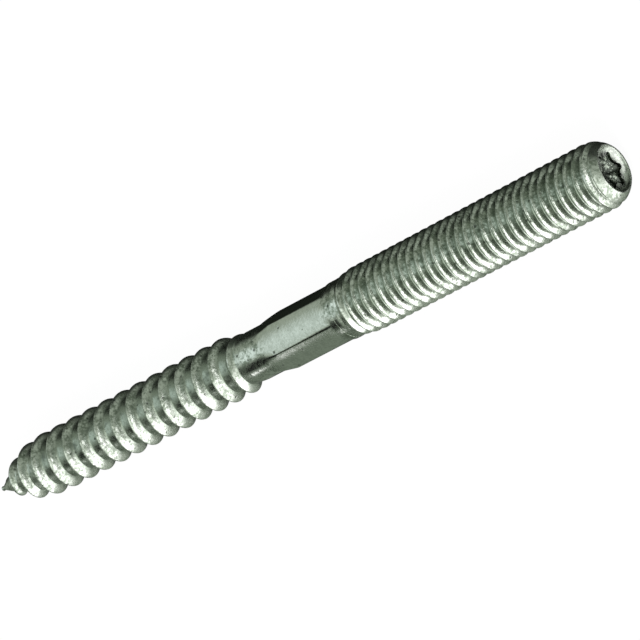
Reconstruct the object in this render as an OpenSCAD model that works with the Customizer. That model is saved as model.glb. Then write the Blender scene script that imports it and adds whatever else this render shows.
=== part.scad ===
// Hanger bolt: a wood thread with a point at one end, a machine thread with a
// six-lobe drive recess at the other, and a pressed hexagon between them.
// It lies along X with its point towards -X and its axis half a thread
// diameter above z = 0.

/* [Overall] */
// Length over all, from the point to the drive face
total_l = 100; // [80:1:160]
// Diameter of the plain wire that both threads are rolled on
blank_d = 7.2; // [6.6:0.05:7.6]
// Hand of both threads
thread_hand = "left"; // [left, right]

/* [Wood thread] */
// Length of the wood thread, from the point
wood_l = 44.5; // [30:0.5:54]
// Diameter over the ridges
wood_d = 7.5; // [6.2:0.1:9]
// Diameter of the core between the ridges
core_d = 5.6; // [4.4:0.1:6.4]
// Distance from one ridge to the next
wood_pitch = 2.8; // [2.2:0.1:4]
// Width of a ridge along its crest
wood_crest_w = 0.3; // [0.1:0.05:0.5]
// Angle between the two flanks of a ridge
wood_flank_a = 56; // [40:1:60]
// Length of the pointed part
point_l = 10; // [7:0.5:16]
// Length of bare cone ahead of the first ridge
bare_tip_l = 1.2; // [0.8:0.1:3]
// Radius of the point's blunt tip
tip_r = 0.12; // [0.05:0.01:0.3]
// Length over which the last ridge fades out
wood_fade_l = 3.4; // [1:0.1:6]
// Turn of the wood thread about the bolt's axis
wood_turn = 270; // [0:15:345]

/* [Neck and hexagon] */
// Diameter of the neck behind the wood thread
neck_d = 6.12; // [5:0.02:6.2]
// Length of the neck
neck_l = 2.6; // [1:0.1:6]
// Length of the hexagon, with its tapered ends
hex_l = 11.5; // [8:0.5:20]
// Distance across the hexagon's flats
hex_af = 6.27; // [6.24:0.01:6.8]
// Turn of the hexagon about the bolt's axis
hex_turn = 45; // [0:1:60]
// Length of the taper at the neck end of the hexagon
hex_lead_l = 2.7; // [1:0.1:4]
// Length of the taper at the machine end of the hexagon
hex_trail_l = 2.3; // [1:0.1:4]

/* [Machine thread] */
// Diameter over the machine thread
machine_d = 8; // [7.8:0.1:10]
// Length of plain blank between the hexagon and the thread
blank_l = 0.6; // [0.4:0.1:5]
// Length over which the shank rises from the blank
machine_rise_l = 3.4; // [1:0.1:6]
// Length of the rounded shoulder between the thread and the drive face
shoulder_l = 2.3; // [0.5:0.1:3]
// Diameter of the flat drive face inside the shoulder
face_d = 5.8; // [5.4:0.1:7.4]

/* [Drive recess] */
// Six-lobe recess, across the tips of its lobes
lobe_d = 4.5; // [4:0.05:5.4]
// Six-lobe recess, across the ridges between its lobes
flute_d = 3.2; // [2.7:0.05:3.4]
// Radius of each lobe's rounded tip
lobe_tip_r = 0.38; // [0.3:0.01:0.45]
// Turn of the lobes about the bolt's axis
lobe_turn = 30; // [0:1:60]
// Depth of the recess at full width
recess_h = 2.8; // [1.5:0.1:4]
// Angle at the point of its conical bottom
recess_point_a = 120; // [90:1:150]
// Depth of the bevel round the recess mouth
mouth_bevel = 0.2; // [0.1:0.05:0.4]

/* [Hidden] */
zinc = "#AEB6AC";
$fn = 96;

// Places along the axis, measured from the point
hex_start = wood_l + neck_l;
hex_end = hex_start + hex_l;
machine_start = hex_end + blank_l;
shoulder_start = total_l - shoulder_l;
blank_r = blank_d / 2;
neck_r = neck_d / 2;
machine_r = machine_d / 2;
face_r = face_d / 2;

// How far the hexagon and the bare cone run into their neighbours, and how far
// the hexagon's corners stand below the blank
run_in = 0.25;
corner_drop = 0.03;

// Turn about the axis of the place where the turned body's skin starts. It sets
// how the facets that the skin is cut into lie on the surface below.
seam_turn = 6;

// How far the back of the bare cone stands above the thread's core
point_step = 0.02;

// The shoulder is an arc from the shank to the drive face. Its radius is this
// many times that of an arc that would leave the shank without an edge.
shoulder_open = 1.15;
shoulder_chord = norm([machine_r - face_r, shoulder_l]);
shoulder_r = shoulder_open * pow(shoulder_chord, 2) / (2 * (machine_r - face_r));
shoulder_inset = sqrt(pow(shoulder_r, 2) - pow(shoulder_chord / 2, 2)) / shoulder_chord;
shoulder_c = [
    (machine_r + face_r) / 2 - shoulder_l * shoulder_inset,
    total_l - shoulder_l / 2 - (machine_r - face_r) * shoulder_inset
];

// A thread is a band of flat facets wound round the axis. Its skin starts a
// little below the surface of the plain length that it grows out of.
thread_steps = 24;
sunk = 0.06;
overrun = 1;

// Roundness of the point and of the first ridge, where 1 is a sine's and 0 is blunt
point_bulge = 0.8;
first_ridge_bulge = 0.6;
first_ridge_l = 0.45 * point_l;

// Height of each ridge
wood_depth = (wood_d - core_d) / 2;

// The six-lobe outline: each tip arc runs into the arcs beside it without a corner
lobe_c = lobe_d / 2 - lobe_tip_r;
flute_r = (pow(lobe_tip_r, 2) - pow(lobe_c, 2) - pow(flute_d / 2, 2) + lobe_c * flute_d * cos(30))
    / (flute_d - 2 * lobe_c * cos(30) - 2 * lobe_tip_r);
flute_c = flute_d / 2 + flute_r;
meet = lobe_tip_r / (lobe_tip_r + flute_r);
meet_r = norm([blend(lobe_c * cos(30), flute_c, meet), blend(lobe_c * sin(30), 0, meet)]);

function clamp01(t) = max(0, min(1, t));

// Eases from 0 to 1 with level ends
function ease(t) = let (c = clamp01(t)) c * c * (3 - 2 * c);

function blend(a, b, t) = a + (b - a) * t;

// One ridge and its groove along one pitch: [place along the pitch, share of height]
function ridge(pitch, depth, crest_w, flank_a) =
    let (flank_w = depth * tan(flank_a / 2), root_w = pitch - crest_w - 2 * flank_w)
    [
        [0, 0],
        [root_w, 0],
        [root_w + flank_w, 1],
        [root_w + flank_w + crest_w, 1]
    ];

// Wood thread: a rounded point, a plain core that rises to the neck, and a ridge
// that grows behind the bare cone and fades before the neck
function wood_core(x) =
    blend(core_d / 2, neck_r - sunk, ease((x - wood_l + wood_pitch) / wood_pitch))
    * pow(sin(90 * clamp01(x / point_l)), point_bulge);
function wood_radius(x, share) = wood_core(x)
    + share * wood_depth * pow(clamp01((x - bare_tip_l) / first_ridge_l), first_ridge_bulge)
    * ease((wood_l - x) / wood_fade_l);

// A rod with a helical ridge between two places on the axis, as one closed skin.
// The band is wound one turn past each end, where it lies flat across the end
// and closes in on the axis.
module threaded_rod(from, to, pitch, profile, radius, turned) {
    n = len(profile);
    turn = thread_steps;
    last = ceil(((to - from) / pitch + 3) * turn);
    last_turn = last - turn;
    function along(i, j) = from + pitch * (i / turn - 2) + profile[j][0];
    function past(t) = max(0, from - t, t - to) / (3 * pitch);
    function skin_point(i, j) = let (
            t = along(i, j),
            x = max(from, min(to, t)),
            r = radius(x, profile[j][1]) * (1 - past(t)),
            a = 360 * (i + 0.5) / turn + turned
        ) [r * cos(a), r * sin(a), x];

    skin = [for (i = [0 : last]) for (j = [0 : n - 1]) skin_point(i, j)];
    low = len(skin);
    high = low + 1;
    band = [
        for (i = [0 : last - 1])
            for (j = [0 : n - 1])
                if (j < n - 1 || i < last_turn)
                    let (a = i * n + j, b = a + n, up = j < n - 1 ? 1 : turn * n - j)
                    each [[a, a + up, b], [b, a + up, b + up]]
    ];
    low_end = [
        for (i = [0 : turn - 1]) [low, i * n, (i + 1) * n],
        [low, turn * n, n - 1],
        for (j = [n - 1 : -1 : 1]) [low, j, j - 1]
    ];
    high_end = [
        for (i = [last_turn : last - 1]) [high, (i + 1) * n + n - 1, i * n + n - 1],
        for (j = [n - 1 : -1 : 1]) [high, last * n + j - 1, last * n + j],
        [high, last_turn * n + n - 1, last * n]
    ];
    polyhedron(
        concat(skin, [[0, 0, from], [0, 0, to]]),
        concat(band, low_end, high_end)
    );
}

module wood_thread() {
    mirror([0, thread_hand == "left" ? 1 : 0, 0])
        threaded_rod(
            bare_tip_l, wood_l + overrun, wood_pitch,
            ridge(wood_pitch, wood_depth, wood_crest_w, wood_flank_a),
            function(x, share) wood_radius(x, share),
            wood_turn
        );
}

// Bare cone ahead of the first ridge. Its back falls away inside the thread.
module point() {
    back_x = bare_tip_l + run_in;
    rotate_extrude()
        polygon([
            [0, 0],
            [tip_r, 0],
            [wood_core(back_x) + point_step, back_x],
            [0, back_x + wood_core(back_x)]
        ]);
}

// Neck, the round inside the hexagon, the taper behind it, and the shank of the
// machine thread, which is as thick as the thread's outer diameter and ends in
// the rounded shoulder
module turned_body() {
    rotate(seam_turn)
        rotate_extrude()
            difference() {
                polygon([
                    [0, wood_l],
                    [neck_r, wood_l],
                    [neck_r, hex_end - hex_trail_l],
                    [blank_r, hex_end],
                    [blank_r, machine_start],
                    [machine_r, machine_start + machine_rise_l],
                    [machine_r, total_l],
                    [0, total_l]
                ]);
                translate(shoulder_c)
                    difference() {
                        square(shoulder_r + overrun);
                        circle(shoulder_r);
                    }
            }
}

// Hexagon pressed into the blank: its corners are rounded a little below the
// blank, and it tapers to the neck. Both ends run on inside the turned body.
module pressed_hexagon() {
    lead_slope = (blank_r - neck_r) / hex_lead_l;
    corner_r = blank_r - corner_drop;
    intersection() {
        translate([0, 0, hex_start - run_in])
            rotate(hex_turn)
                cylinder(h = hex_l + 2 * run_in, d = hex_af / cos(30), $fn = 6);
        rotate_extrude()
            polygon([
                [0, hex_start - run_in],
                [neck_r - lead_slope * run_in, hex_start - run_in],
                [corner_r, hex_start + (corner_r - neck_r) / lead_slope],
                [corner_r, hex_end + run_in],
                [0, hex_end + run_in]
            ]);
    }
}

module six_lobe_outline() {
    difference() {
        circle(meet_r);
        for (k = [0 : 5])
            rotate(60 * k)
                translate([flute_c, 0])
                    circle(flute_r);
    }
    for (k = [0 : 5])
        rotate(60 * k + 30)
            translate([lobe_c, 0])
                circle(lobe_tip_r);
}

// Recess down from the drive face, with a conical bottom and a bevelled mouth
module drive_recess() {
    bottom_h = lobe_d / 2 / tan(recess_point_a / 2);
    translate([0, 0, total_l - recess_h])
        intersection() {
            translate([0, 0, -bottom_h])
                rotate(lobe_turn)
                    linear_extrude(bottom_h + recess_h + overrun)
                        six_lobe_outline();
            translate([0, 0, -bottom_h])
                rotate_extrude()
                    polygon([
                        [0, 0],
                        [lobe_d, 2 * bottom_h],
                        [lobe_d, bottom_h + recess_h + overrun],
                        [0, bottom_h + recess_h + overrun]
                    ]);
        }
    ridge_r = flute_d / 2 - sunk;
    mouth_r = lobe_d / 2 + sunk;
    translate([0, 0, total_l - mouth_bevel])
        cylinder(h = 2 * mouth_bevel, r1 = ridge_r, r2 = 2 * mouth_r - ridge_r);
}

module hanger_bolt() {
    color(zinc)
        translate([-total_l / 2, 0, max(machine_d, wood_d) / 2])
            rotate([90, 0, 90])
                difference() {
                    union() {
                        point();
                        wood_thread();
                        turned_body();
                        pressed_hexagon();
                    }
                    drive_recess();
                }
}

hanger_bolt();
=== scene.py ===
"""The looks of a zinc-plated hanger bolt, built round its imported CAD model.

The bolt is modelled along the X axis through the origin, its point towards -X,
and lifted onto the floor once it is whole. Lengths are in metres.
"""

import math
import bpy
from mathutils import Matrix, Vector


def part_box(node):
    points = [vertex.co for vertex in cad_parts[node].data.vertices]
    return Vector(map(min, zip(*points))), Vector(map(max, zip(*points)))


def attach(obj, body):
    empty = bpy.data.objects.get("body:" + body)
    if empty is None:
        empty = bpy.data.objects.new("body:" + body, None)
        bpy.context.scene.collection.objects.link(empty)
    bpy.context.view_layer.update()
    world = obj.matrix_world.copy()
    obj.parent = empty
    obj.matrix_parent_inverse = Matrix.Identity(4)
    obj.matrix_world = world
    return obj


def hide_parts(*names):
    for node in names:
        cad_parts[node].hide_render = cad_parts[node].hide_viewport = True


bl_info = {
    "name": "Hanger Bolt",
    "version": (1, 0, 0),
    "blender": (4, 5, 0),
    "location": "View3D > Sidebar > Hanger Bolt",
    "description": "Models a zinc-plated hanger bolt and the studio it lies in",
    "category": "Add Mesh",
}

import bpy
from bpy.props import FloatProperty, FloatVectorProperty, PointerProperty
from mathutils import Matrix, Vector

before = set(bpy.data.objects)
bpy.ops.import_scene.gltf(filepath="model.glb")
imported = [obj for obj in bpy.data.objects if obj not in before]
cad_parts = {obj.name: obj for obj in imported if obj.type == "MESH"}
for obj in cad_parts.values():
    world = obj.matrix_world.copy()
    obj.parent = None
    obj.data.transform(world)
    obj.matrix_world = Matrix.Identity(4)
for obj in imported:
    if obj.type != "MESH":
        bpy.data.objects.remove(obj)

CAD_NODE = "hanger_bolt"
CAD_LOW, CAD_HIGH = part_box(CAD_NODE)
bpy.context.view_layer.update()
TIP_X = CAD_LOW.x
FACE_X = CAD_HIGH.x

MM = 0.001
TURN_STEPS = 72
OUTLINE_STEPS = 120
ARC_STEPS = 10
SMOOTH_ANGLE = math.radians(32)

# Places closer than this are one place
MERGE = 0.0005 * MM
# How far a hidden surface lies under the one that covers it
SUNK = 0.03 * MM
# How far threads and cutters are carried past where they end
OVERRUN = 1 * MM

# 1 winds both threads right-handed, and -1 left-handed
THREAD_HAND = -1
# Rounding at a ridge's foot and crest, and the first ridge's length, as shares of
# the ridge's height and of the point's length
WOOD_ROOT_ROUND = 0.35
WOOD_CREST_ROUND = 0.32
FIRST_RIDGE = 0.45
# Below 1 the point and its first ridge swell early, as a rolled point does
POINT_SWELL = 0.8
RIDGE_SWELL = 0.6
# ISO metric thread: height and crest as shares of the pitch
METRIC_HEIGHT = 0.6134
METRIC_CREST = 1 / 8
METRIC_FLANKS = math.radians(60)
METRIC_ROUND = 0.2
# Radius of the shoulder's arc over that of the arc that leaves the shank without an edge
SHOULDER_OPEN = 1.15
LOBE_SPACING = math.radians(60)

TABLE_SIZE = 4.0
SENSOR_WIDTH = 36.0
PICTURE_PIXELS = 640
# Place and width of each lamp, in metres
KEY_LAMP = ((0.1, -0.35, 0.45), 0.25)
FILL_LAMP = ((-0.3, 0.25, 0.5), 0.3)

# What the metal sees of the room: direction, half-angles of the full and the whole
# patch in degrees, colour and strength
SOFT_BOXES = (
    ((-0.3, 0.5, -0.8), 40, 66, "#1A1F19", 1.0),
    ((0.5, 0.05, -0.85), 22, 32, "#20251F", 1.0),
    ((0.3, 0.95, -0.2), 18, 36, "#2C322B", 1.0),
    ((0.35, -0.3, 0.88), 16, 41, "#DCE3DA", 1.8),
    ((-0.45, 0.35, 0.82), 15, 33, "#DDE9E6", 1.3),
    ((-0.65, -0.72, 0.0), 35, 48, "#7C8779", 1.0),
    ((-0.68, -0.42, 0.6), 12, 18, "#0C0F0B", 1.0),
    ((-0.6, -0.75, 0.27), 3, 8, "#FFFFFF", 1.6),
    ((0.45, -0.88, 0.1), 27, 41, "#FFFFFF", 2.6),
    ((0.85, -0.38, -0.22), 31, 37, "#FFFFFF", 3.2),
)


# ---------------------------------------------------------------- user settings


def length(name, description, millimetres):
    return FloatProperty(
        name=name,
        description=description,
        default=millimetres * MM,
        min=0.01 * MM,
        unit="LENGTH",
        subtype="DISTANCE",
    )


def angle(name, description, degrees):
    return FloatProperty(
        name=name,
        description=description,
        default=math.radians(degrees),
        unit="ROTATION",
        subtype="ANGLE",
    )


def share(name, description, value):
    return FloatProperty(
        name=name,
        description=description,
        default=value,
        min=0.0,
        max=1.0,
        subtype="FACTOR",
    )


def hex_channels(code):
    """The three sRGB channels of a colour such as "#AEB6AC"."""
    return [int(code[i : i + 2], 16) / 255 for i in (1, 3, 5)]


def colour(name, description, code):
    return FloatVectorProperty(
        name=name,
        description=description,
        default=hex_channels(code),
        min=0.0,
        max=1.0,
        size=3,
        subtype="COLOR_GAMMA",
    )


class BoltSizes(bpy.types.PropertyGroup):
    """Sizes of the bolt, with places along it measured from the point"""

    wood_length: length("Wood thread length", "From the point to the neck", 44.5)
    wood_diameter: length("Wood thread diameter", "Over the ridges", 7.65)
    core_diameter: length("Wood thread core", "Between the ridges", 5.6)
    wood_pitch: length("Wood thread pitch", "From one ridge to the next", 2.8)
    wood_crest: length("Wood thread crest", "Width of a ridge along its crest", 0.3)
    wood_flank_angle: angle("Wood thread flanks", "Angle between a ridge's flanks", 56)
    wood_turn: angle("Wood thread turn", "Turn of the thread about the axis", -117.4)
    point_length: length("Point length", "Length of the pointed part", 10)
    bare_point: length("Bare point", "Length of bare cone ahead of the first ridge", 1.2)
    tip_radius: length("Tip radius", "Radius of the point's blunt tip", 0.3)
    fade_length: length("Wood thread fade", "Length over which the last ridge fades", 3.4)
    neck_diameter: length("Neck diameter", "Behind the wood thread", 6.12)
    neck_length: length("Neck length", "From the wood thread to the hexagon", 2.6)
    blank_diameter: length("Blank diameter", "Plain wire that both threads are rolled on", 7.2)
    hexagon_length: length("Hexagon length", "With both of its tapered ends", 11.5)
    hexagon_flats: length("Hexagon across flats", "Distance between two facing flats", 6.27)
    hexagon_turn: angle("Hexagon turn", "Turn of the hexagon about the axis", 45)
    hexagon_lead: length("Hexagon lead", "Length of the taper at the neck", 2.7)
    hexagon_trail: length("Hexagon trail", "Length of the taper at the machine thread", 2.3)
    blank_length: length("Blank length", "From the hexagon to the machine thread", 0.6)
    machine_diameter: length("Machine thread diameter", "Over the ridges", 8)
    machine_pitch: length("Machine thread pitch", "From one ridge to the next", 1.25)
    machine_rise: length("Machine thread rise", "Length over which the ridges grow", 3.4)
    machine_turn: angle("Machine thread turn", "Turn of the thread about the axis", 0)
    shoulder: length("Shoulder", "Length of the rounding between thread and face", 2.3)
    face_diameter: length("Drive face", "Diameter of the flat face inside the shoulder", 5.8)
    lobe_diameter: length("Recess across lobes", "Across the tips of two facing lobes", 4.5)
    flute_diameter: length("Recess across ridges", "Across two facing ridges", 3.2)
    lobe_radius: length("Lobe tip radius", "Radius of each lobe's rounded tip", 0.38)
    lobe_turn: angle("Recess turn", "Turn of the lobes about the axis", 30)
    recess_depth: length("Recess depth", "Depth of the recess at full width", 0.9)
    recess_point: length("Recess point", "Depth of the pointed floor below full width", 0.85)
    mouth_depth: length("Mouth depth", "Depth of the dish round the recess", 0.55)
    rim: length("Rim", "Width of the flat rim between shoulder and dish", 0.12)


class FinishSettings(bpy.types.PropertyGroup):
    """Colours and gloss of the plating, and the colour of the painted shade in the drive recess"""

    plating: colour("Plating", "Colour of the bright plating", "#D6DAD3")
    dull_plating: colour("Dull plating", "Colour where the plating is cloudy", "#8A9386")
    # Darker tint at the bottom of the thread grooves
    groove_tint: colour("Residue", "Colour of the residue in the grooves", "#99A296")
    # Also the colour of the painted shade in the drive recess and of the darker patches in the
    # grooves
    pit_and_shade: colour("Pits", "Colour of the small pits", "#1E251D")
    roughness: share("Roughness", "Roughness of the bright plating", 0.12)
    dull_roughness: share("Dull roughness", "Roughness where the plating is cloudy", 0.44)


class StudioSettings(bpy.types.PropertyGroup):
    """Camera, lamps and floor"""

    elevation: angle("Elevation", "Height of the camera above the bolt's axis", 53.7)
    roll: angle("Roll", "Turn of the camera about its line of sight", 27.695)
    distance: length("Distance", "From the camera to the bolt's middle", 502.4)
    aim_place: length("Aim", "Place along the bolt that the camera looks at", 56.65)
    shift_right: FloatProperty(
        name="Shift right", description="Pixels from the centre to that place", default=12.0
    )
    shift_up: FloatProperty(
        name="Shift up", description="Pixels from the centre up to that place", default=3.5
    )
    focal_pixels: FloatProperty(
        name="Focal length", description="Focal length in picture pixels", default=4346
    )
    floor: colour("Floor", "Colour of the floor", "#FFFFFF")
    floor_glow: share("Floor glow", "How much of the floor's white is its own", 0.94)
    room: colour("Room", "Colour of the room where nothing stands", "#A6B0A2")
    key_watts: FloatProperty(name="Key lamp", description="Power", default=1.6, unit="POWER")
    fill_watts: FloatProperty(name="Fill lamp", description="Power", default=0.6, unit="POWER")


# ---------------------------------------------------------------- modelling by hand


def deselect():
    if bpy.context.object and bpy.context.object.mode != "OBJECT":
        bpy.ops.object.mode_set(mode="OBJECT")
    bpy.ops.object.select_all(action="DESELECT")


def activate(piece):
    deselect()
    piece.select_set(True)
    bpy.context.view_layer.objects.active = piece


def edit_all(piece):
    activate(piece)
    bpy.ops.object.mode_set(mode="EDIT")
    bpy.ops.mesh.select_all(action="SELECT")


def object_mode():
    bpy.ops.object.mode_set(mode="OBJECT")


def added(name):
    """Names the primitive that was just added, and its mesh."""
    piece = bpy.context.object
    piece.name = name
    piece.data.name = name
    return piece


def chain(name, places):
    """A line of edges through places (along the axis, out from it), extruded one by one."""
    deselect()
    bpy.ops.mesh.primitive_plane_add(size=MM)
    line = added(name)
    edit_all(line)
    bpy.ops.mesh.merge(type="CENTER")
    bpy.ops.transform.translate(value=(places[0][0], 0, places[0][1]))
    for here, there in zip(places, places[1:]):
        step = (there[0] - here[0], 0, there[1] - here[1])
        bpy.ops.mesh.extrude_region_move(TRANSFORM_OT_translate={"value": step})
    object_mode()
    return line


def apply(piece, kind, **settings):
    """Adds a modifier of that kind with its settings, and applies it."""
    activate(piece)
    modifier = piece.modifiers.new(kind.title(), kind)
    for key, value in settings.items():
        setattr(modifier, key, value)
    bpy.ops.object.modifier_apply(modifier=modifier.name)


def merge_doubles(piece):
    edit_all(piece)
    bpy.ops.mesh.remove_doubles(threshold=MERGE)
    bpy.ops.mesh.normals_make_consistent(inside=False)
    object_mode()


def lathe(name, outline):
    """Turns an outline that starts and ends on the axis into a closed solid."""
    turned = chain(name, outline)
    apply(turned, "SCREW", axis="X", steps=TURN_STEPS, render_steps=TURN_STEPS)
    merge_doubles(turned)
    return turned


def wind(name, profile, pitch, start, end):
    """Winds one pitch of a thread's profile about the axis, well past both places."""
    turns = math.ceil((end - start) / pitch) + 3
    first = start - 2 * pitch
    line = chain(name, [(first + place, out) for place, out in profile])
    apply(
        line,
        "SCREW",
        axis="X",
        screw_offset=pitch,
        angle=THREAD_HAND * 2 * math.pi,
        iterations=turns,
        steps=TURN_STEPS,
        render_steps=TURN_STEPS,
    )
    return line


def cut_ends(piece, start, end):
    """Cuts a wound thread square at both ends and closes the cuts."""
    for place, side in ((start, -1), (end, 1)):
        edit_all(piece)
        bpy.ops.mesh.bisect(
            plane_co=(place, 0, 0),
            plane_no=(side, 0, 0),
            use_fill=True,
            clear_outer=True,
            threshold=MERGE,
        )
        object_mode()
    merge_doubles(piece)


def boolean(piece, other, operation):
    """Joins, cuts or trims piece by other, removes other and closes the slivers it leaves."""
    apply(piece, "BOOLEAN", object=other, operation=operation, solver="EXACT")
    bpy.data.objects.remove(other, do_unlink=True)
    merge_doubles(piece)


# ---------------------------------------------------------------- thread shapes


def clamp01(value):
    return max(0.0, min(1.0, value))


def ease(value):
    """Eases from 0 to 1 with level ends."""
    value = clamp01(value)
    return value * value * (3 - 2 * value)


def mix(a, b, part):
    return a + (b - a) * part


def rounded_floor(value, reach):
    """max(value, 0), with its corner rounded over that reach on both sides."""
    if value <= -reach:
        return 0.0
    if value >= reach:
        return value
    return (value + reach) ** 2 / (4 * reach)


def ridge_profile(pitch, depth, crest, flank_angle, root_round, crest_round):
    """One pitch of a thread, as (place, share of the ridge's height), with rounded corners."""
    flank = depth * math.tan(flank_angle / 2)
    crest_height = 1 + crest / 2 / flank
    levels = [-root_round, -root_round / 2, 0, root_round / 2, root_round, 0.5]
    levels += [1 - crest_round, 1 - crest_round / 2, 1, 1 + crest_round / 2]
    levels = [level for level in levels if level < crest_height - 0.01] + [crest_height]
    rising = []
    for level in levels:
        out = 1 - rounded_floor(1 - rounded_floor(level, root_round), crest_round)
        rising.append((pitch / 2 - (crest_height - level) * flank, out))
    falling = [(pitch - place, out) for place, out in reversed(rising[:-1])]
    return [(0, 0)] + rising + falling + [(pitch, 0)]


def shape_thread(thread, low_radius, depth, new_radius):
    """Moves each point of a wound thread out to new_radius(place, share of height)."""
    for vertex in thread.data.vertices:
        point = vertex.co
        out = math.hypot(point.y, point.z)
        radius = new_radius(point.x, clamp01((out - low_radius) / depth))
        point.y *= radius / out
        point.z *= radius / out


def wood_thread(sizes):
    """Rounded point, core and the ridge that grows behind the bare cone and fades at the neck."""
    core = sizes.core_diameter / 2
    depth = sizes.wood_diameter / 2 - core
    neck = sizes.neck_diameter / 2
    profile = ridge_profile(
        sizes.wood_pitch,
        depth,
        sizes.wood_crest,
        sizes.wood_flank_angle,
        WOOD_ROOT_ROUND,
        WOOD_CREST_ROUND,
    )
    first_ridge = FIRST_RIDGE * sizes.point_length

    def radius(x, height):
        place = x - TIP_X
        rise_to_neck = ease((place - sizes.wood_length + sizes.wood_pitch) / sizes.wood_pitch)
        taper = math.sin(math.pi / 2 * clamp01(place / sizes.point_length)) ** POINT_SWELL
        body = mix(core, neck - SUNK, rise_to_neck) * taper
        growth = clamp01((place - sizes.bare_point) / first_ridge) ** RIDGE_SWELL
        fade = ease((sizes.wood_length - place) / sizes.fade_length)
        return max(body, sizes.tip_radius) + height * depth * growth * fade

    start = TIP_X
    end = TIP_X + sizes.wood_length + OVERRUN
    line = [(place, core + height * depth) for place, height in profile]
    thread = wind("wood_thread", line, sizes.wood_pitch, start, end)
    merge_doubles(thread)
    shape_thread(thread, core, depth, radius)
    thread.data.transform(Matrix.Rotation(sizes.wood_turn, 4, "X"))
    cut_ends(thread, start, end)
    return thread


def machine_thread(sizes):
    """Metric thread whose ridges rise out of the blank and end at the rounded shoulder."""
    outer = sizes.machine_diameter / 2
    depth = METRIC_HEIGHT * sizes.machine_pitch
    blank = sizes.blank_diameter / 2
    low = outer - depth
    profile = ridge_profile(
        sizes.machine_pitch,
        depth,
        METRIC_CREST * sizes.machine_pitch,
        METRIC_FLANKS,
        METRIC_ROUND,
        METRIC_ROUND,
    )
    thread_start = TIP_X + sizes.wood_length + sizes.neck_length
    thread_start += sizes.hexagon_length + sizes.blank_length

    def radius(x, height):
        grown = ease((x - thread_start) / sizes.machine_rise)
        return mix(blank - SUNK, outer - (1 - height) * depth, grown)

    start = thread_start - sizes.blank_length / 2
    end = FACE_X + OVERRUN
    line = [(place, low + height * depth) for place, height in profile]
    thread = wind("machine_thread", line, sizes.machine_pitch, start, end)
    merge_doubles(thread)
    shape_thread(thread, low, depth, radius)
    thread.data.transform(Matrix.Rotation(sizes.machine_turn, 4, "X"))
    cut_ends(thread, start, end)
    envelope = lathe(
        "shoulder_envelope",
        [
            (start - OVERRUN, 0),
            (start - OVERRUN, outer + OVERRUN),
            (FACE_X - sizes.shoulder - OVERRUN, outer + OVERRUN),
            *shoulder_arc(sizes),
            (FACE_X, 0),
        ],
    )
    boolean(thread, envelope, "INTERSECT")
    return thread


def shoulder_arc(sizes):
    """Places on the rounding from the last ridge's crest to the drive face."""
    outer = sizes.machine_diameter / 2
    face = sizes.face_diameter / 2
    drop = outer - face
    chord = math.hypot(drop, sizes.shoulder)
    radius = SHOULDER_OPEN * chord**2 / (2 * drop)
    inset = math.sqrt(radius**2 - chord**2 / 4) / chord
    centre_out = (outer + face) / 2 - sizes.shoulder * inset
    centre_x = FACE_X - sizes.shoulder / 2 - drop * inset
    first = math.asin((FACE_X - sizes.shoulder - centre_x) / radius)
    last = math.asin((FACE_X - centre_x) / radius)
    places = []
    for step in range(ARC_STEPS + 1):
        lean = mix(first, last, step / ARC_STEPS)
        places.append((centre_x + radius * math.sin(lean), centre_out + radius * math.cos(lean)))
    return places


def plain_lengths(sizes):
    """Neck, the round inside the hexagon, the taper behind it and the blank."""
    neck = sizes.neck_diameter / 2
    blank = sizes.blank_diameter / 2
    neck_start = TIP_X + sizes.wood_length
    hexagon_end = neck_start + sizes.neck_length + sizes.hexagon_length
    return lathe(
        "plain_lengths",
        [
            (neck_start, 0),
            (neck_start, neck),
            (hexagon_end - sizes.hexagon_trail, neck),
            (hexagon_end, blank),
            (hexagon_end + sizes.blank_length, blank),
            (hexagon_end + sizes.blank_length, 0),
        ],
    )


def pressed_hexagon(sizes):
    """Hexagon with softened edges, rounded by the blank and tapered to the neck."""
    run_in = OVERRUN / 4
    neck = sizes.neck_diameter / 2
    corner = sizes.blank_diameter / 2 - SUNK
    start = TIP_X + sizes.wood_length + sizes.neck_length
    end = start + sizes.hexagon_length
    slope = (sizes.blank_diameter / 2 - neck) / sizes.hexagon_lead
    deselect()
    bpy.ops.mesh.primitive_cylinder_add(
        vertices=6,
        radius=sizes.hexagon_flats / 2 / math.cos(math.pi / 6),
        depth=end - start + 2 * run_in,
    )
    hexagon = added("pressed_hexagon")
    lie_down = Matrix.Rotation(math.radians(90), 4, "Y")
    turn = Matrix.Rotation(sizes.hexagon_turn, 4, "X")
    place = Matrix.Translation(((start + end) / 2, 0, 0))
    hexagon.data.transform(place @ turn @ lie_down)
    round_body = lathe(
        "hexagon_round",
        [
            (start - run_in, 0),
            (start - run_in, neck - slope * run_in),
            (start + (corner - neck) / slope, corner),
            (end + run_in, corner),
            (end + run_in, 0),
        ],
    )
    boolean(hexagon, round_body, "INTERSECT")
    return hexagon


def six_lobe_radius(sizes, turn):
    """Radius of the six-lobe outline in that direction, a lobe's tip being at 0."""
    tip = sizes.lobe_radius
    tip_centre = sizes.lobe_diameter / 2 - tip
    flute = sizes.flute_diameter / 2
    slant = math.cos(LOBE_SPACING / 2)
    across = tip**2 - tip_centre**2 - flute**2 + 2 * tip_centre * flute * slant
    valley = across / (2 * (flute - tip_centre * slant - tip))
    valley_centre = flute + valley
    lean = abs((turn + LOBE_SPACING / 2) % LOBE_SPACING - LOBE_SPACING / 2)
    on_tip = tip_centre * math.cos(lean)
    reach = on_tip**2 - tip_centre**2 + tip**2
    off = LOBE_SPACING / 2 - lean
    on_valley = valley_centre * math.cos(off)
    inner = on_valley**2 - valley_centre**2 + valley**2
    meet = tip / (tip + valley)
    meet_x = mix(tip_centre, valley_centre * slant, meet)
    meet_y = mix(0, valley_centre / 2, meet)
    if lean < math.atan2(meet_y, meet_x):
        return on_tip + math.sqrt(max(reach, 0))
    return on_valley - math.sqrt(max(inner, 0))


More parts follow.
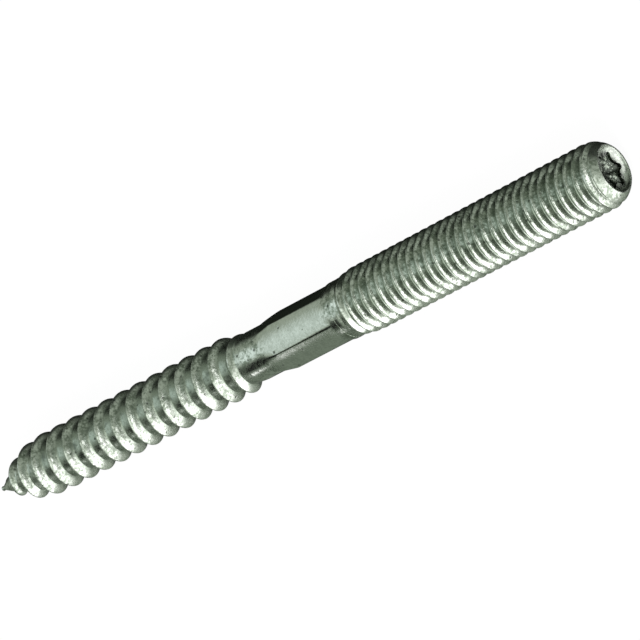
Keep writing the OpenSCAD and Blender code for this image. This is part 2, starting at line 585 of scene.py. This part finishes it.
def drive_recess(sizes):
    """Six-lobe cutter whose floor rises in a ridge under each flute, to a point."""
    mouth = FACE_X + OVERRUN / 2
    widest = sizes.lobe_diameter / 2
    bottom = FACE_X - sizes.recess_depth
    deselect()
    bpy.ops.mesh.primitive_circle_add(vertices=OUTLINE_STEPS, radius=widest)
    cutter = added("drive_recess")
    for vertex in cutter.data.vertices:
        turn = math.atan2(vertex.co.y, vertex.co.x)
        out = six_lobe_radius(sizes, turn - sizes.lobe_turn)
        vertex.co = (mouth, out * math.cos(turn), out * math.sin(turn))
    edit_all(cutter)
    bpy.ops.mesh.extrude_region_move(TRANSFORM_OT_translate={"value": (bottom - mouth, 0, 0)})
    bpy.ops.mesh.extrude_region_move(
        TRANSFORM_OT_translate={"value": (-sizes.recess_point, 0, 0)}
    )
    bpy.ops.mesh.merge(type="CENTER")
    bpy.ops.mesh.select_all(action="SELECT")
    bpy.ops.mesh.fill_holes(sides=0)
    object_mode()
    apex = min(cutter.data.vertices, key=lambda vertex: vertex.co.x)
    apex.co = (bottom - sizes.recess_point, 0, 0)
    merge_doubles(cutter)
    return cutter


def dished_mouth(sizes):
    """Rounded dish that leads from a narrow rim of the drive face into the recess."""
    rim = sizes.face_diameter / 2 - sizes.rim
    floor = sizes.flute_diameter / 2
    outline = [(FACE_X - sizes.mouth_depth, 0)]
    for step in range(ARC_STEPS + 1):
        lean = math.pi / 2 * step / ARC_STEPS
        out = mix(floor, rim, math.sin(lean))
        outline.append((FACE_X - sizes.mouth_depth * math.cos(lean), out))
    outline += [(FACE_X + OVERRUN, rim), (FACE_X + OVERRUN, 0)]
    return lathe("dished_mouth", outline)


# ---------------------------------------------------------------- materials

# How many patches of each pattern there are in a millimetre. The grain is drawn coarser
# than the real one, which is too fine to show
CLOUDS_PER_MM = 0.7
GRAINS_PER_MM = 3.2
PITS_PER_MM = 0.8
# Levels of those patterns from which and at which each finish and the painted recess shade show in
# full
CLOUDY = (0.44, 0.57)
PITTED = (0.36, 0.26)
GROOVE_PATCHY = (0.55, 0.63)
# Painted shade in the dish and in the lobes of the drive recess
DISH_SHADED = (0.52, 0.46)
LOBES_SHADED = (0.56, 0.52)
# How far each finish and the painted recess shade cover the plating where they show in full
PITS_COVER = 0.75
GROOVE_PATCHES_COVER = 0.5
DISH_SHADE_COVER = 0.65
LOBES_SHADE_COVER = 0.95
# How much cloud is left on the hexagon
PRESSED_CLOUD = 0.3
# Share of the roughness that comes from the rolled and struck ends, against the clouds
ENDS_SHARE = 0.35
# Share of the grain in the peel, and the bump that the peel and the pits make
PEEL_GRAIN = 0.6
BUMP_STRENGTH = 0.35
BUMP_HEIGHT = 0.05 * MM


def linear(code):
    """The linear RGBA colour of an sRGB hex code or of three sRGB channels."""
    channels = hex_channels(code) if isinstance(code, str) else code
    lit = [c / 12.92 if c <= 0.04045 else ((c + 0.055) / 1.055) ** 2.4 for c in channels]
    return (*lit, 1.0)


def add_node(tree, kind, inputs=None, **settings):
    """Adds a node with its settings. inputs are values, or the sockets that feed them."""
    node = tree.nodes.new(kind)
    for key, value in settings.items():
        setattr(node, key, value)
    for socket, value in (inputs or {}).items():
        if isinstance(value, bpy.types.NodeSocket):
            tree.links.new(value, node.inputs[socket])
        else:
            node.inputs[socket].default_value = value
    return node


def new_material(name):
    material = bpy.data.materials.new(name)
    material.use_nodes = True
    material.node_tree.nodes.clear()
    return material, material.node_tree


class Places:
    """Places along the bolt and radii from its axis, in the millimetres that the plating uses."""

    def __init__(self, sizes):
        self.tip = TIP_X / MM
        self.neck = (TIP_X + sizes.wood_length) / MM
        self.hexagon = self.neck + sizes.neck_length / MM
        self.hexagon_end = self.hexagon + sizes.hexagon_length / MM
        self.machine = self.hexagon_end + sizes.blank_length / MM
        self.face = FACE_X / MM
        self.shoulder = self.face - sizes.shoulder / MM
        self.dish_floor = self.face - sizes.mouth_depth / MM
        self.wood_core = sizes.core_diameter / 2 / MM
        self.machine_crest = sizes.machine_diameter / 2 / MM
        self.dish = (sizes.face_diameter / 2 - sizes.rim) / MM


def zinc_plating(finish, sizes):
    """Bright zinc electroplate on rolled steel: mirror-like, with cloudy patches, a fine
    orange peel, small pits from the wire, a darker tint with darker patches at the
    bottom of the grooves, and painted shade in the dish and lobes of the drive recess."""
    material, tree = new_material("zinc_plating")
    places = Places(sizes)
    place = add_node(tree, "ShaderNodeTexCoord").outputs["Object"]
    in_mm = add_node(
        tree,
        "ShaderNodeMapping",
        {
            "Vector": place,
            "Location": (0, 0, -sizes.machine_diameter / 2 / MM),
            "Scale": (1 / MM,) * 3,
        },
    ).outputs["Vector"]
    axes = add_node(tree, "ShaderNodeSeparateXYZ", {"Vector": in_mm}).outputs
    along = axes["X"]
    across = add_node(tree, "ShaderNodeCombineXYZ", {"Y": axes["Y"], "Z": axes["Z"]})
    out = add_node(
        tree, "ShaderNodeVectorMath", {0: across.outputs["Vector"]}, operation="LENGTH"
    ).outputs["Value"]

    clouds = add_node(
        tree,
        "ShaderNodeTexNoise",
        {"Vector": in_mm, "Scale": CLOUDS_PER_MM, "Detail": 6.0, "Roughness": 0.65},
    ).outputs["Fac"]
    grain = add_node(
        tree,
        "ShaderNodeTexNoise",
        {"Vector": in_mm, "Scale": GRAINS_PER_MM, "Detail": 4.0, "Roughness": 0.6},
    ).outputs["Fac"]
    mottle = add_node(
        tree, "ShaderNodeMix", {"Factor": 0.5, "A": clouds, "B": grain}, data_type="FLOAT"
    ).outputs["Result"]
    pits = add_node(
        tree,
        "ShaderNodeTexVoronoi",
        {"Vector": in_mm, "Scale": PITS_PER_MM, "Randomness": 1.0},
    ).outputs["Distance"]
    ragged = add_node(
        tree, "ShaderNodeMath", {0: grain, 1: 0.4, 2: pits}, operation="MULTIPLY_ADD"
    ).outputs["Value"]

    cloudy = where(tree, pressed_cloud(tree, along, places), (mottle, *CLOUDY))
    pitted = where(tree, PITS_COVER, (ragged, *PITTED))
    # Darker tint at the bottom of both threads' grooves, with darker patches in it where the clouds
    # are thick
    deep = groove_mask(tree, along, out, places)
    groove_patches = where(tree, deep, (clouds, *GROOVE_PATCHY))
    groove_patches = add_node(
        tree, "ShaderNodeMath", {0: groove_patches, 1: GROOVE_PATCHES_COVER}, operation="MULTIPLY"
    ).outputs["Value"]
    # Pits, darker patches in the grooves, and painted shade in the dish and lobes of the drive
    # recess, all in one near-black colour
    dark = pitted
    for cover in (groove_patches, painted_recess_shade(tree, along, out, mottle, places)):
        dark = add_node(
            tree, "ShaderNodeMath", {0: dark, 1: cover}, operation="MAXIMUM"
        ).outputs["Value"]

    base = linear(finish.plating)
    layers = ((cloudy, finish.dull_plating), (deep, finish.groove_tint), (dark, finish.pit_and_shade))
    for cover, tint in layers:
        base = add_node(
            tree,
            "ShaderNodeMix",
            {"Factor": cover, "A": base, "B": linear(tint)},
            data_type="RGBA",
        ).outputs["Result"]

    rolled = where(tree, 1.0, (along, places.neck + 0.5, places.neck - 1.5))
    struck = where(tree, 1.0, (along, places.shoulder - 0.5, places.shoulder + 0.1))
    ends = add_node(
        tree, "ShaderNodeMath", {0: rolled, 1: struck}, operation="MAXIMUM"
    ).outputs["Value"]
    dullness = add_node(
        tree,
        "ShaderNodeMix",
        {"Factor": ENDS_SHARE, "A": cloudy, "B": ends},
        data_type="FLOAT",
    ).outputs["Result"]
    gloss = add_node(
        tree,
        "ShaderNodeMapRange",
        {"Value": dullness, "To Min": finish.roughness, "To Max": finish.dull_roughness},
    ).outputs["Result"]

    peel = add_node(
        tree,
        "ShaderNodeMath",
        {0: grain, 1: PEEL_GRAIN, 2: clouds},
        operation="MULTIPLY_ADD",
    ).outputs["Value"]
    sunk = add_node(
        tree, "ShaderNodeMath", {0: peel, 1: pitted}, operation="SUBTRACT"
    ).outputs["Value"]
    bump = add_node(
        tree,
        "ShaderNodeBump",
        {"Height": sunk, "Strength": BUMP_STRENGTH, "Distance": BUMP_HEIGHT},
    ).outputs["Normal"]
    shader = add_node(
        tree,
        "ShaderNodeBsdfPrincipled",
        {"Base Color": base, "Metallic": 1.0, "Roughness": gloss, "Normal": bump},
    )
    add_node(tree, "ShaderNodeOutputMaterial", {"Surface": shader.outputs["BSDF"]})
    return material


def where(tree, cover, *fades):
    """cover where every value is past the end of its fade, and 0 before any one's start."""
    for value, start, end in fades:
        shown = add_node(
            tree, "ShaderNodeMapRange", {"Value": value, "From Min": start, "From Max": end}
        ).outputs["Result"]
        cover = add_node(
            tree, "ShaderNodeMath", {0: cover, 1: shown}, operation="MULTIPLY"
        ).outputs["Value"]
    return cover


def pressed_cloud(tree, along, places):
    """Less cloud on the hexagon, where the die has burnished the steel under the plating."""
    start = add_node(
        tree,
        "ShaderNodeMapRange",
        {
            "Value": along,
            "From Min": places.hexagon,
            "From Max": places.hexagon + 1.4,
            "To Min": 1.0,
            "To Max": PRESSED_CLOUD,
        },
    ).outputs["Result"]
    end = add_node(
        tree,
        "ShaderNodeMapRange",
        {
            "Value": along,
            "From Min": places.hexagon_end - 1.4,
            "From Max": places.hexagon_end,
            "To Min": PRESSED_CLOUD,
            "To Max": 1.0,
        },
    ).outputs["Result"]
    both = add_node(tree, "ShaderNodeMath", {0: start, 1: end}, operation="MAXIMUM")
    return both.outputs["Value"]


def groove_mask(tree, along, out, places):
    """1 at the bottom of either thread's grooves, fading to 0 up the flanks."""
    wood = where(
        tree,
        1.0,
        (out, places.wood_core + 0.45, places.wood_core - 0.05),
        (along, places.tip + 6.0, places.tip + 10.0),
        (along, places.neck, places.neck - 2.0),
    )
    machine = where(
        tree,
        1.0,
        (out, places.machine_crest - 0.4, places.machine_crest - 0.8),
        (along, places.machine + 0.3, places.machine + 2.8),
        (along, places.shoulder + 0.3, places.shoulder - 0.7),
    )
    both = add_node(tree, "ShaderNodeMath", {0: wood, 1: machine}, operation="MAXIMUM")
    return both.outputs["Value"]


def painted_recess_shade(tree, along, out, mottle, places):
    """How far painted shade covers the dish, and the walls and floor of the lobes below it, broken
    up by the mottle.
    """
    inside = ((out, places.dish, places.dish - 0.08), (along, places.face - 3.1, places.face - 3.0))
    in_dish = (along, places.face - 0.02, places.face - 0.15)
    in_lobes = (along, places.dish_floor, places.dish_floor - 0.07)
    dish = where(tree, DISH_SHADE_COVER, in_dish, (mottle, *DISH_SHADED), *inside)
    lobes = where(tree, LOBES_SHADE_COVER, in_lobes, (mottle, *LOBES_SHADED), *inside)
    both = add_node(tree, "ShaderNodeMath", {0: dish, 1: lobes}, operation="MAXIMUM")
    return both.outputs["Value"]


def table_top(studio):
    """Plain white laminate: it glows a little to the camera, so that shadows stay faint."""
    material, tree = new_material("table_top")
    matt = add_node(tree, "ShaderNodeBsdfDiffuse", {"Color": linear(studio.floor)})
    glow = add_node(tree, "ShaderNodeEmission", {"Color": linear("#FFFFFF")})
    both = add_node(
        tree,
        "ShaderNodeMixShader",
        {0: studio.floor_glow, 1: matt.outputs["BSDF"], 2: glow.outputs["Emission"]},
    )
    add_node(tree, "ShaderNodeOutputMaterial", {"Surface": both.outputs["Shader"]})
    return material


def give(piece, material):
    piece.data.materials.clear()
    piece.data.materials.append(material)


# ---------------------------------------------------------------- studio


def camera_axes(studio):
    """Right, up and backward directions of the camera."""
    back = Vector((math.cos(studio.elevation), 0, math.sin(studio.elevation)))
    along = Vector((math.sin(studio.elevation), 0, -math.cos(studio.elevation)))
    across = Vector((0, -1, 0))
    right = along * math.cos(studio.roll) + across * math.sin(studio.roll)
    up = along * math.sin(studio.roll) - across * math.cos(studio.roll)
    return right, up, back


def add_camera(studio, axis_height):
    right, up, back = camera_axes(studio)
    aim = Vector((TIP_X + studio.aim_place, 0, axis_height))
    per_pixel = studio.distance / studio.focal_pixels
    spot = aim + back * studio.distance
    spot -= (right * studio.shift_right + up * studio.shift_up) * per_pixel
    data = bpy.data.cameras.new("camera")
    data.sensor_width = SENSOR_WIDTH
    data.lens = studio.focal_pixels * SENSOR_WIDTH / PICTURE_PIXELS
    data.clip_start = 10 * MM
    camera = bpy.data.objects.new("camera", data)
    bpy.context.scene.collection.objects.link(camera)
    turn = Matrix((right, up, back)).transposed().to_4x4()
    camera.matrix_world = Matrix.Translation(spot) @ turn
    bpy.context.scene.camera = camera


def add_lamp(name, spot, size, watts):
    """Round soft lamp that points at the bolt's middle and leaves no glint on it."""
    data = bpy.data.lights.new(name, "AREA")
    data.shape = "DISK"
    data.size = size
    data.energy = watts
    lamp = bpy.data.objects.new(name, data)
    bpy.context.scene.collection.objects.link(lamp)
    lamp.location = spot
    lamp.visible_glossy = False
    lamp.rotation_euler = (-Vector(spot)).to_track_quat("-Z", "Y").to_euler()


def paint_world(studio):
    """White to the camera and to matt surfaces. Metal sees a grey room with soft boxes
    and dark cloths in it."""
    world = bpy.data.worlds.new("studio")
    bpy.context.scene.world = world
    world.use_nodes = True
    tree = world.node_tree
    tree.nodes.clear()
    way = add_node(tree, "ShaderNodeTexCoord").outputs["Generated"]
    seen = linear(studio.room)
    for direction, inner, outer, code, strength in SOFT_BOXES:
        facing = add_node(
            tree,
            "ShaderNodeVectorMath",
            {0: way, 1: Vector(direction).normalized()},
            operation="DOT_PRODUCT",
        ).outputs["Value"]
        inside = add_node(
            tree,
            "ShaderNodeMapRange",
            {
                "Value": facing,
                "From Min": math.cos(math.radians(outer)),
                "From Max": math.cos(math.radians(inner)),
            },
            interpolation_type="SMOOTHSTEP",
        ).outputs["Result"]
        glow = [channel * strength for channel in linear(code)[:3]]
        seen = add_node(
            tree,
            "ShaderNodeMix",
            {"Factor": inside, "A": seen, "B": (*glow, 1.0)},
            data_type="RGBA",
        ).outputs["Result"]
    room = add_node(tree, "ShaderNodeBackground", {"Color": seen, "Strength": 1.0})
    white = add_node(tree, "ShaderNodeBackground", {"Color": linear("#FFFFFF"), "Strength": 1.0})
    glossy = add_node(tree, "ShaderNodeLightPath").outputs["Is Glossy Ray"]
    both = add_node(
        tree,
        "ShaderNodeMixShader",
        {0: glossy, 1: white.outputs["Background"], 2: room.outputs["Background"]},
    )
    add_node(tree, "ShaderNodeOutputWorld", {"Surface": both.outputs["Shader"]})


# ---------------------------------------------------------------- operators


class HANGERBOLT_OT_bolt(bpy.types.Operator):
    """Models the bolt in one piece, in the place of its CAD model"""

    bl_idname = "hangerbolt.bolt"
    bl_label = "Bolt"

    def execute(self, context):
        sizes = context.scene.bolt_sizes
        bolt = wood_thread(sizes)
        boolean(bolt, plain_lengths(sizes), "UNION")
        boolean(bolt, pressed_hexagon(sizes), "UNION")
        boolean(bolt, machine_thread(sizes), "UNION")
        boolean(bolt, dished_mouth(sizes), "DIFFERENCE")
        boolean(bolt, drive_recess(sizes), "DIFFERENCE")
        bolt.name = bolt.data.name = "zinc_plated_bolt"
        activate(bolt)
        bpy.ops.object.shade_smooth_by_angle(angle=SMOOTH_ANGLE)
        axis_height = sizes.machine_diameter / 2
        bolt.data.transform(Matrix.Translation((0, 0, axis_height)))
        give(bolt, zinc_plating(context.scene.bolt_finish, sizes))
        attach(bolt, "root")
        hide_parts(CAD_NODE)
        return {"FINISHED"}


class HANGERBOLT_OT_studio(bpy.types.Operator):
    """Sets up the table, the lamps, the room and the camera"""

    bl_idname = "hangerbolt.studio"
    bl_label = "Studio"

    def execute(self, context):
        studio = context.scene.bolt_studio
        axis_height = context.scene.bolt_sizes.machine_diameter / 2
        deselect()
        bpy.ops.mesh.primitive_plane_add(size=TABLE_SIZE)
        table = added("table")
        give(table, table_top(studio))
        table.visible_glossy = False
        add_lamp("key", *KEY_LAMP, studio.key_watts)
        add_lamp("fill", *FILL_LAMP, studio.fill_watts)
        paint_world(studio)
        add_camera(studio, axis_height)
        context.scene.view_settings.view_transform = "Standard"
        return {"FINISHED"}


class HANGERBOLT_PT_panel(bpy.types.Panel):
    """Sizes, finish and studio of the hanger bolt"""

    bl_label = "Hanger Bolt"
    bl_idname = "HANGERBOLT_PT_panel"
    bl_space_type = "VIEW_3D"
    bl_region_type = "UI"
    bl_category = "Hanger Bolt"

    def draw(self, context):
        layout = self.layout
        steps = (
            ("bolt_sizes", None),
            ("bolt_finish", HANGERBOLT_OT_bolt),
            ("bolt_studio", HANGERBOLT_OT_studio),
        )
        for name, step in steps:
            settings = getattr(context.scene, name)
            box = layout.box()
            for key in settings.__annotations__:
                box.prop(settings, key)
            if step:
                box.operator(step.bl_idname)


CLASSES = (
    BoltSizes,
    FinishSettings,
    StudioSettings,
    HANGERBOLT_OT_bolt,
    HANGERBOLT_OT_studio,
    HANGERBOLT_PT_panel,
)


def register():
    for item in CLASSES:
        bpy.utils.register_class(item)
    bpy.types.Scene.bolt_sizes = PointerProperty(type=BoltSizes)
    bpy.types.Scene.bolt_finish = PointerProperty(type=FinishSettings)
    bpy.types.Scene.bolt_studio = PointerProperty(type=StudioSettings)


def unregister():
    del bpy.types.Scene.bolt_studio
    del bpy.types.Scene.bolt_finish
    del bpy.types.Scene.bolt_sizes
    for item in reversed(CLASSES):
        bpy.utils.unregister_class(item)


def main():
    register()
    bpy.ops.hangerbolt.bolt()
    bpy.ops.hangerbolt.studio()


if __name__ == "__main__":
    main()
